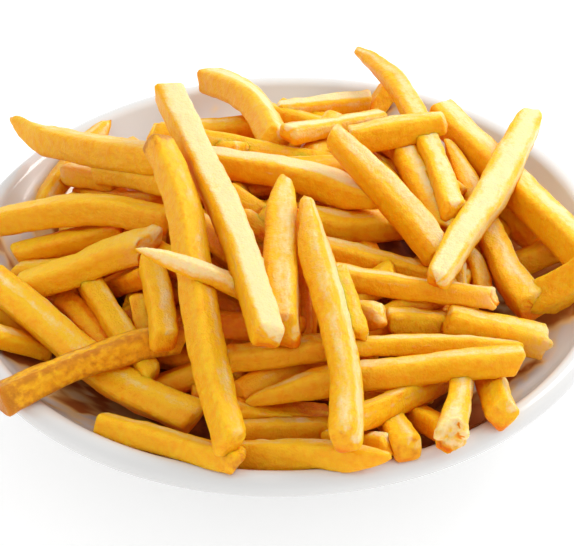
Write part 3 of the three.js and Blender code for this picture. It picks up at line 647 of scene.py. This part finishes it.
def fry_surface(fry, number, section, step):
    """Vertices, faces and vertex values of one fry."""
    draw = np.random.default_rng(1000 + number)
    look = LOOKS.get(fry.name, {})
    is_shown = section == SHOWN_SECTION
    reach = np.linalg.norm(np.diff(fry.points, axis=0), axis=1).sum()
    count = max(6, round(reach / step))
    lead = np.array([0, 0.1, 0.25, 0.5, 0.8, 1.2]) * END_ROUND / reach
    inner = np.linspace(0, 1, count + 1)
    inner = inner[(inner > lead[-1] + 0.4 * step / reach) & (inner < 1 - lead[-1] - 0.4 * step / reach)]
    share = np.concatenate([lead, inner, 1 - lead[::-1]])
    rings = len(share)
    centres = curve_through(fry.points, share)
    own_turn = math.radians(fry.turn)
    turn = own_turn + draw.normal(0, 0.08) * (share - 0.5) * 2
    along, first, second = frames_along(centres, turn)
    across, aside, corner = section_of(draw, section, own_turn, look.get("square", draw.uniform(5.0, 8.0)))
    half = fry.width * fry.middle / FOCAL / 2 if is_shown else fry.side / 2

    guides = look.get("widths", 1 + draw.normal(0, 0.05, 4))
    widths = np.interp(share, np.linspace(0, 1, len(guides)), guides)
    distance = share * reach
    rounds = look.get("round", (END_ROUND, END_ROUND))
    for end_kind, gone, rounded in ((fry.ends[0], share, rounds[0]), (fry.ends[1], 1 - share, rounds[1])):
        if end_kind == "t":
            taper = TIP_SIZE + (1 - TIP_SIZE) * np.minimum(1, gone / TIP_SPAN) ** 0.75
            widths = widths * taper
            aslant = draw.uniform(0.35, 0.75) * (1 if draw.uniform() < 0.5 else -1)
            centres = centres + second * ((1 - taper) * half * aslant)[:, None]
        worn = 1 - np.minimum(1, gone * reach / rounded)
        left = 0.64 if rounded == END_ROUND else 0.2
        widths = widths * (left + (1 - left) * np.sqrt(np.clip(1 - worn**2, 0, 1)))
    wave = draw.uniform(0, 6.28, 4)
    swell_a = 1 + 0.025 * np.sin(distance / 8.5 + wave[0]) + 0.012 * np.sin(distance / 3.9 + wave[1])
    swell_b = 1 + 0.025 * np.sin(distance / 7.6 + wave[2]) + 0.012 * np.sin(distance / 3.3 + wave[3])
    offsets = (half * (widths * swell_a)[:, None, None] * across[None, :, None] * first[:, None]
               + half * (widths * swell_b)[:, None, None] * aside[None, :, None] * second[:, None])
    near_end = np.exp(-np.minimum(share, 1 - share) * reach / 3.0)
    slant = draw.normal(0, 0.28, 4)
    lean = np.where((share < 0.5)[:, None], slant[0] * across + slant[1] * aside,
                    slant[2] * across + slant[3] * aside) * near_end[:, None] * half * 0.8
    vertices = (centres[:, None] + offsets + lean[..., None] * along[:, None]).reshape(-1, 3)
    outward = offsets.reshape(-1, 3) / np.linalg.norm(offsets.reshape(-1, 3), axis=1)[:, None]

    near_axis = np.stack([np.tile(across, rings), np.tile(aside, rings)], axis=1) * half
    seed = draw.uniform(-50, 50, 3)
    lumps = look.get("lumps", 1.0)
    bumps = smooth_noise(vertices, 5.5, seed)
    relief = 0.26 * bumps + 0.16 * smooth_noise(vertices, 2.6, seed + 7)
    close = np.repeat(near_end, section)
    ragged = np.repeat(np.where(share < 0.5, fry.ends[0] == "r", fry.ends[1] == "r"), section)
    if is_shown:
        relief = relief + 0.10 * smooth_noise(vertices, 1.3, seed + 5)
        relief = relief - 0.25 * np.tile(corner, rings) * np.clip(smooth_noise(vertices, 3.1, seed + 9), 0, 1)
        crumbs = smooth_noise(vertices, 2.4, seed + 3) + 0.6 * smooth_noise(vertices, 1.3, seed + 21)
        relief = relief + close * (0.12 + 0.88 * ragged) * lumps * 0.7 * crumbs
        shift = close * (0.2 + 0.8 * ragged) * lumps * 1.3 * smooth_noise(vertices, 2.8, seed + 11)
        vertices = vertices + np.repeat(along, section, axis=0) * shift[:, None]
    vertices = vertices + outward * relief[:, None]
    caps = np.array([vertices[:section].mean(0), vertices[-section:].mean(0)])
    caps += np.array([-along[0], along[-1]]) * 0.25
    outward = np.vstack([outward, -along[0], along[-1]])

    dark = look.get("dark_end", (0.25, 0.25))
    browned = np.repeat(np.where(share < 0.5, dark[0], dark[1]), section) * close * (1 - ragged)
    values = {
        "corner": np.append(np.tile(corner, rings), [0, 0]),
        "browned": np.append(browned, dark),
        "crumbly": np.append(close * ragged, [fry.ends[0] == "r", fry.ends[1] == "r"]),
        # How much each place faces the key lamp's side, from which the material paints light and shade.
        "facing": outward @ BRIGHT_SIDE,
        "grain": np.vstack([np.stack([np.repeat(distance, section) * 0.22, *near_axis.T], axis=1),
                            [[0, 0, 0], [reach * 0.22, 0, 0]]]) + seed,
    }
    quads = []
    for k in range(rings - 1):
        for i in range(section):
            a = k * section + i
            b = k * section + (i + 1) % section
            quads.append((a, b, b + section, a + section))
    first_cap = len(vertices)
    last = (rings - 1) * section
    triangles = []
    for i in range(section):
        j = (i + 1) % section
        triangles.append((first_cap, j, i))
        triangles.append((first_cap + 1, last + i, last + j))
    return np.vstack([vertices, caps]), quads + triangles, values, outward


def clear_of_bowl(vertices):
    """Moves vertices that touch the bowl's upper face off it."""
    distance = over_bowl(vertices)
    close = np.nonzero((distance < CLEARANCE) & (vertices[:, 2] < RIM_HEIGHT + 9))[0]
    step = 0.05
    for _ in range(3):
        if not len(close):
            break
        here = over_bowl(vertices[close])
        slope = np.stack([(over_bowl(vertices[close] + step * axis) - here) / step
                          for axis in np.eye(3)], axis=1)
        slope /= np.maximum(np.linalg.norm(slope, axis=1), 1e-6)[:, None]
        vertices[close] += slope * np.maximum(0, CLEARANCE - here)[:, None]
    return vertices


def shape_fries(fries, section, step, first_number):
    """The joined surface of some fries, with the values that its material reads."""
    parts, faces, values, outwards = [], [], {}, []
    start = 0
    for k, fry in enumerate(fries):
        vertices, own_faces, own_values, outward = fry_surface(fry, first_number + k, section, step)
        look = LOOKS.get(fry.name, {})
        draw = np.random.default_rng(5000 + first_number + k)
        own_values["pale"] = np.full(len(vertices), look.get("pale", draw.uniform(0.15, 0.55)))
        own_values["brown"] = np.full(len(vertices), look.get("brown", draw.uniform(0.0, 0.3)))
        # Painted shade: hidden fries get a little by default, as they lie deep in the heap.
        shade = 0.0 if section == SHOWN_SECTION else 0.12
        own_values["shade"] = np.full(len(vertices), look.get("shade", shade))
        parts.append(vertices)
        outwards.append(outward)
        faces.extend(tuple(i + start for i in face) for face in own_faces)
        for key, value in own_values.items():
            values.setdefault(key, []).append(value)
        start += len(vertices)
    values = {key: np.concatenate(value) for key, value in values.items()}
    return clear_of_bowl(np.vstack(parts)), faces, values, np.vstack(outwards)


def sky_directions():
    """Directions spread evenly over the upper half of a sphere."""
    k = np.arange(SKY)
    rise = (k + 0.5) / SKY
    around = k * math.pi * (3 - math.sqrt(5))
    level = np.sqrt(1 - rise**2)
    return np.stack([level * np.cos(around), level * np.sin(around), rise], axis=1)


def openness(tree, vertices, outward):
    """How open each vertex is to the light from above, more towards the bright side, between 0 and 1; the
    materials paint light and shade from it.
    """
    directions = sky_directions()
    favoured = 0.7 + 0.6 * np.clip(directions @ BRIGHT_SIDE, 0, 1)
    weight = np.clip(outward @ directions.T + 0.15, 0, 1) * favoured
    total = np.zeros(len(vertices))
    starts = (vertices + outward * 0.6).tolist()
    for k, direction in enumerate(directions):
        ahead = Vector(direction)
        rows = np.nonzero(weight[:, k] > 0)[0]
        free = [tree.ray_cast(Vector(starts[i]), ahead, 55.0)[0] is None for i in rows]
        total[rows] += weight[rows, k] * free
    return np.clip(total / (0.5 * SKY * 0.62), 0, 1)


def make_piece(name, shape, tree, material):
    vertices, faces, values, outward = shape
    # How open each place is to the light, from which the materials paint light and shade.
    values["open"] = openness(tree, vertices, outward)
    mesh = bpy.data.meshes.new(name)
    mesh.from_pydata((vertices * MM).tolist(), [], faces)
    mesh.polygons.foreach_set("use_smooth", [True] * len(mesh.polygons))
    for key, value in values.items():
        value = np.asarray(value, np.float32)
        kind, field = ("FLOAT_VECTOR", "vector") if value.ndim == 2 else ("FLOAT", "value")
        attribute = mesh.attributes.new(key, kind, "POINT")
        attribute.data.foreach_set(field, value.ravel())
    mesh.update()
    piece = bpy.data.objects.new(name, mesh)
    bpy.context.collection.objects.link(piece)
    piece.data.materials.append(material)
    return piece


def link_mesh(name, vertices, faces, material):
    mesh = bpy.data.meshes.new(name)
    mesh.from_pydata((np.asarray(vertices) * MM).tolist(), [], faces)
    mesh.polygons.foreach_set("use_smooth", [True] * len(mesh.polygons))
    mesh.materials.append(material)
    piece = bpy.data.objects.new(name, mesh)
    bpy.context.collection.objects.link(piece)
    return piece


def turned(profile, sides):
    """The surface of a profile turned about the axis, from its underside to its top, both on the axis."""
    vertices, faces, rows = [], [], []
    for r, z in profile:
        if r == 0:
            rows.append([len(vertices)] * sides)
            vertices.append((0, 0, z))
            continue
        rows.append(list(range(len(vertices), len(vertices) + sides)))
        for i in range(sides):
            a = 2 * math.pi * i / sides
            vertices.append((r * math.cos(a), r * math.sin(a), z))
    for low, high in zip(rows, rows[1:]):
        for i in range(sides):
            j = (i + 1) % sides
            if low[i] == low[j]:
                faces.append((low[i], high[j], high[i]))
            elif high[i] == high[j]:
                faces.append((low[i], low[j], high[i]))
            else:
                faces.append((low[i], low[j], high[j], high[i]))
    return vertices, faces


def build_core(name, material):
    """The crumbly depth of the heap under the fries."""
    radii = VISUAL_CORE_RADIUS * np.arange(41) / 40
    under = [(float(r), float(inner_height(r)) + CLEARANCE + 0.1) for r in radii]
    over = [(float(r), float(inner_height(r)) + CLEARANCE + 0.9) for r in radii[::-1]]
    vertices, faces = turned(under + over, 96)
    vertices = np.array(vertices)
    upper = np.arange(len(vertices)) > len(vertices) // 2 - 1
    top = core_height(vertices[:, 0], vertices[:, 1]) - 3 + 2.2 * smooth_noise(vertices, 6, 3)
    vertices[:, 2] = np.where(upper, np.maximum(vertices[:, 2], top), vertices[:, 2])
    return link_mesh(name, vertices, faces, material)


def build_bowl(name, tree, material):
    """The bowl's smooth surface, with the lip flowing into its inner face."""
    profile = [(0, 0), (BASE_RADIUS - 2, 0), (BASE_RADIUS, 0.15), (BASE_RADIUS + 3, 0.8)]
    for r in np.linspace(54, 92, 12):
        profile.append((float(r), float(inner_height(r)) - WALL_THICKNESS))
    for angle in np.linspace(-120, 150, 28):
        a = math.radians(angle)
        profile.append((RIM_RADIUS + LIP_RADIUS * math.cos(a), RIM_HEIGHT + LIP_RADIUS * math.sin(a)))
    profile.append((96.4, float(inner_height(96.4)) + 0.75))
    for r in np.linspace(94.5, FLOOR_RADIUS, 24):
        profile.append((float(r), float(inner_height(r))))
    profile += [(30, FLOOR_HEIGHT), (15, FLOOR_HEIGHT), (0, FLOOR_HEIGHT)]
    vertices, faces = turned(profile, 176)
    bowl = link_mesh(name, vertices, faces, material)
    # How open the bowl's faces are, from which its material paints shade and bounce light on the inner face.
    outward = np.zeros(3 * len(vertices))
    bowl.data.vertex_normals.foreach_get("vector", outward)
    attribute = bowl.data.attributes.new("open", "FLOAT", "POINT")
    attribute.data.foreach_set("value", openness(tree, np.array(vertices), outward.reshape(-1, 3)))
    attribute = bowl.data.attributes.new("inner", "FLOAT", "POINT")
    attribute.data.foreach_set("value", outward.reshape(-1, 3)[:, 2] > 0.1)
    return bowl


class Nodes:
    """A short way to write a node material."""

    def __init__(self, name):
        self.material = bpy.data.materials.new(name)
        self.material.use_nodes = True
        self.tree = self.material.node_tree
        self.shader = self.tree.nodes["Principled BSDF"]

    def add(self, kind, **settings):
        node = self.tree.nodes.new(kind)
        inputs = settings.pop("inputs", {})
        for key, value in settings.items():
            setattr(node, key, value)
        for key, value in inputs.items():
            self.put(value, node.inputs[key])
        return node

    def put(self, value, socket):
        if isinstance(value, bpy.types.NodeSocket):
            self.tree.links.new(value, socket)
        else:
            socket.default_value = value

    def value(self, name):
        return self.add("ShaderNodeAttribute", attribute_name=name).outputs["Fac"]

    def noise(self, scale, detail=3.0, where=None):
        node = self.add("ShaderNodeTexNoise", inputs={"Scale": scale, "Detail": detail})
        if where is not None:
            self.put(where, node.inputs["Vector"])
        return node.outputs["Fac"]

    def math(self, operation, a, b=0.0, c=0.0):
        node = self.add("ShaderNodeMath", operation=operation)
        for socket, value in zip(node.inputs, (a, b, c)):
            self.put(value, socket)
        return node.outputs[0]

    def ramp(self, value, low, high):
        """A value from 0 at low to 1 at high."""
        node = self.add("ShaderNodeMapRange", interpolation_type="SMOOTHSTEP")
        self.put(value, node.inputs["Value"])
        self.put(low, node.inputs["From Min"])
        self.put(high, node.inputs["From Max"])
        return node.outputs["Result"]

    def mix(self, share, a, b):
        node = self.add("ShaderNodeMix", data_type="RGBA")
        self.put(share, node.inputs["Factor"])
        self.put(a, node.inputs[6])
        self.put(b, node.inputs[7])
        return node.outputs[2]


# Colours are linear.
CREAM = (0.96, 0.74, 0.36, 1)
GOLD = (0.97, 0.55, 0.012, 1)
AMBER = (0.94, 0.37, 0.002, 1)
RUST = (0.82, 0.18, 0.001, 1)
BROWN = (0.46, 0.13, 0.006, 1)


def potato_material():
    """Fried potato: pale flesh under a golden crust, browned at ends, with painted light in cream and painted
    shade in amber in the heap's depth.
    """
    n = Nodes("fried_potato")
    where = n.add("ShaderNodeNewGeometry").outputs["Position"]
    grain = n.add("ShaderNodeAttribute", attribute_name="grain").outputs["Vector"]
    patches = n.noise(150, 3, where)
    mottle = n.noise(480, 4, where)
    fine = n.noise(1700, 3, where)
    streaks = n.noise(0.42, 4, grain)
    # Painted light and shade: how open each place is to the light from above, less the fry's painted shade,
    # with random patches.
    light = n.math("SUBTRACT", n.value("open"), n.value("shade"))
    light = n.math("ADD", light, n.math("MULTIPLY_ADD", patches, 0.3, -0.15))
    # Painted highlight: faces turned to the bright side are paler cream.
    facing = n.math("MULTIPLY_ADD", n.value("facing"), 0.95, -0.85)
    pale = n.math("MULTIPLY_ADD", n.value("pale"), 0.85, facing)
    pale = n.math("ADD", pale, n.math("MULTIPLY_ADD", streaks, 1.3, -0.65))
    pale = n.math("ADD", pale, n.math("MULTIPLY_ADD", patches, 0.6, -0.3))
    pale = n.math("SUBTRACT", pale, n.math("MULTIPLY", n.value("corner"), 0.85))
    pale = n.math("ADD", pale, n.math("MULTIPLY_ADD", mottle, 0.9, -0.45))
    pale = n.math("ADD", pale, n.math("MULTIPLY_ADD", fine, 0.5, -0.25))
    # Cream shows only where this painted light is high.
    pale = n.math("MULTIPLY", n.ramp(pale, -0.2, 0.7), n.ramp(light, 0.28, 0.75))
    # Painted shade: faces turned away from the bright side go amber; the crust at the corners and random
    # mottle add real amber.
    shade_and_crust = n.ramp(n.value("facing"), 0.62, -0.05)
    shade_and_crust = n.math("MAXIMUM", n.math("MULTIPLY", shade_and_crust, 0.6), n.math("MULTIPLY", n.value("corner"), 0.45))
    shade_and_crust = n.math("ADD", shade_and_crust, n.math("MULTIPLY_ADD", mottle, 1.0, -0.5))
    base = n.mix(n.ramp(shade_and_crust, 0.1, 1.0), GOLD, AMBER)
    # Painted shade: amber and then rust where the light from above is low.
    base = n.mix(n.ramp(light, 0.55, 0.18), base, AMBER)
    base = n.mix(n.math("MULTIPLY", n.ramp(light, 0.26, 0.02), 0.85), base, RUST)
    warm = n.ramp(n.math("ADD", mottle, n.math("MULTIPLY", n.value("brown"), 0.3)), 0.52, 0.8)
    base = n.mix(n.math("MULTIPLY", warm, 0.5), base, AMBER)
    base = n.mix(pale, base, CREAM)
    # Pale crumbs on ragged ends, which fade where the painted light is low.
    crumbs = n.math("MULTIPLY", n.value("crumbly"), n.ramp(mottle, 0.3, 0.6))
    crumbs = n.math("MULTIPLY", crumbs, n.ramp(light, 0.1, 0.7))
    base = n.mix(n.math("MULTIPLY", crumbs, 0.8), base, (0.97, 0.76, 0.38, 1))
    worn = n.math("MULTIPLY", n.value("corner"), n.math("MULTIPLY", n.value("brown"), 0.45))
    worn = n.math("MAXIMUM", worn, n.math("MULTIPLY", n.value("browned"), 0.9))
    fried = n.math("MULTIPLY", n.math("MULTIPLY", n.value("brown"), n.value("brown")), 0.45)
    worn = n.math("ADD", worn, fried)
    crisp = n.ramp(n.math("ADD", worn, n.math("MULTIPLY_ADD", mottle, 0.9, -0.45)), 0.22, 0.7)
    base = n.mix(n.math("MULTIPLY", crisp, 0.7), base, BROWN)
    n.put(base, n.shader.inputs["Base Color"])
    shader = n.shader.inputs
    shader["Roughness"].default_value = 0.36
    shader["Specular IOR Level"].default_value = 0.2
    shader["Subsurface Weight"].default_value = 0.6
    shader["Subsurface Radius"].default_value = (1.0, 0.38, 0.08)
    shader["Subsurface Scale"].default_value = 0.0028
    height = n.math("ADD", n.math("MULTIPLY", mottle, 0.7), n.math("MULTIPLY", fine, 0.4))
    height = n.math("ADD", height, n.math("MULTIPLY", streaks, 0.5))
    bump = n.add("ShaderNodeBump", inputs={"Strength": 0.75, "Distance": 0.0011, "Height": height})
    n.put(bump.outputs["Normal"], shader["Normal"])
    return n.material


def core_shade_material():
    n = Nodes("heap_depth_painted_shade")
    where = n.add("ShaderNodeNewGeometry").outputs["Position"]
    mottle = n.noise(260, 4, where)
    # Dark red-brown: painted shade, where the gaps show the heap's depth.
    n.put(n.mix(n.ramp(mottle, 0.35, 0.7), (0.22, 0.035, 0.002, 1), (0.45, 0.10, 0.006, 1)),
          n.shader.inputs["Base Color"])
    n.shader.inputs["Roughness"].default_value = 0.6
    bump = n.add("ShaderNodeBump", inputs={"Strength": 0.5, "Distance": 0.001, "Height": mottle})
    n.put(bump.outputs["Normal"], n.shader.inputs["Normal"])
    return n.material


def porcelain_material():
    """White glazed porcelain with a slight unevenness in the glaze, and painted shade and painted warm bounce
    light on its inner face under the heap.
    """
    n = Nodes("glazed_porcelain")
    where = n.add("ShaderNodeNewGeometry").outputs["Position"]
    broad = n.noise(18, 2, where)
    fine = n.noise(900, 2, where)
    base = n.mix(n.ramp(broad, 0.3, 0.7), (0.70, 0.695, 0.685, 1), (0.74, 0.735, 0.725, 1))
    height = n.add("ShaderNodeSeparateXYZ", inputs={"Vector": where}).outputs["Z"]
    # Painted shade and painted bounce light on the inner face below the lip, where the heap closes it in:
    # warm where partly open, dark brown where closed.
    inside = n.math("MULTIPLY", n.ramp(n.value("open"), 0.85, 0.4), n.ramp(height, 0.0372, 0.034))
    inside = n.math("MULTIPLY", inside, n.value("inner"))
    bounce_and_shade_tint = n.mix(n.ramp(n.value("open"), 0.58, 0.28), (1, 0.72, 0.24, 1), (0.46, 0.13, 0.01, 1))
    base = n.mix(n.math("MULTIPLY", inside, 0.97), base, bounce_and_shade_tint)
    n.put(base, n.shader.inputs["Base Color"])
    shader = n.shader.inputs
    shader["Roughness"].default_value = 0.16
    shader["Specular IOR Level"].default_value = 0.5
    shader["Coat Weight"].default_value = 0.3
    shader["Coat Roughness"].default_value = 0.06
    height = n.math("ADD", n.math("MULTIPLY", broad, 1.0), n.math("MULTIPLY", fine, 0.02))
    bump = n.add("ShaderNodeBump", inputs={"Strength": 0.12, "Distance": 0.002, "Height": height})
    n.put(bump.outputs["Normal"], shader["Normal"])
    return n.material


def aim_at(obj, target):
    obj.rotation_euler = (Vector(target) - obj.location).to_track_quat("-Z", "Y").to_euler()


def add_light(name, place, size, power, colour):
    light = bpy.data.lights.new(name, "AREA")
    light.shape = "RECTANGLE"
    light.size, light.size_y = size
    light.energy = power
    light.color = colour
    obj = bpy.data.objects.new(name, light)
    bpy.context.collection.objects.link(obj)
    obj.location = place
    aim_at(obj, (0, 0, 0.04))


def set_stage():
    """The floor, the light and the camera."""
    bpy.ops.mesh.primitive_plane_add(size=8)
    floor = bpy.context.object
    floor.name = "floor"
    n = Nodes("pale_floor")
    n.shader.inputs["Base Color"].default_value = (0.75, 0.75, 0.75, 1)
    n.shader.inputs["Roughness"].default_value = 0.8
    n.shader.inputs["Emission Color"].default_value = (1, 1, 1, 1)
    n.shader.inputs["Emission Strength"].default_value = 0.36
    floor.data.materials.append(n.material)
    world = bpy.data.worlds.new("studio")
    bpy.context.scene.world = world
    world.use_nodes = True
    world.node_tree.nodes["Background"].inputs["Color"].default_value = (1, 1, 1, 1)
    world.node_tree.nodes["Background"].inputs["Strength"].default_value = 0.95
    add_light("key", (0.36, 0.26, 0.42), (0.26, 0.26), 1.75, (1, 0.99, 0.97))
    scene = bpy.context.scene
    scene.view_settings.view_transform = "Standard"
    camera = bpy.data.objects.new("camera", bpy.data.cameras.new("camera"))
    bpy.context.collection.objects.link(camera)
    camera.data.sensor_width = SENSOR
    camera.data.lens = FOCAL * SENSOR / WIDTH
    camera.data.clip_start = 0.01
    rows = [[*row] for row in np.stack([RIGHT, UP, BACK], axis=1)]
    camera.matrix_world = Matrix.Translation(Vector(EYE * MM)) @ Matrix(rows).to_4x4()
    scene.camera = camera


def main():
    set_stage()
    shown, unseen, filling = lay_heap()
    shapes = {
        "fries_lower": shape_fries(shown[:34], SHOWN_SECTION, SHOWN_STEP, 0),
        "fries_upper": shape_fries(shown[34:], SHOWN_SECTION, SHOWN_STEP, 100),
        "fries_deep": shape_fries(unseen + filling, HIDDEN_SECTION, HIDDEN_STEP, 300),
    }
    corners, faces = [], []
    for vertices, own_faces, _, _ in shapes.values():
        faces.extend(tuple(i + len(corners) for i in face) for face in own_faces)
        corners.extend(vertices.tolist())
    tree = BVHTree.FromPolygons(corners, faces)
    bowl = build_bowl("bowl_smooth", tree, porcelain_material())
    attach(bowl, "root")
    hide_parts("bowl")
    potato = potato_material()
    pieces = [make_piece(name, shape, tree, potato) for name, shape in shapes.items()]
    pieces.append(build_core("heap_core", core_shade_material()))
    for piece in pieces:
        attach(piece, "root")
        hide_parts("fries")
        print(piece.name, len(piece.data.polygons), "faces")
    print("fries", len(shown), len(unseen), len(filling))


main()
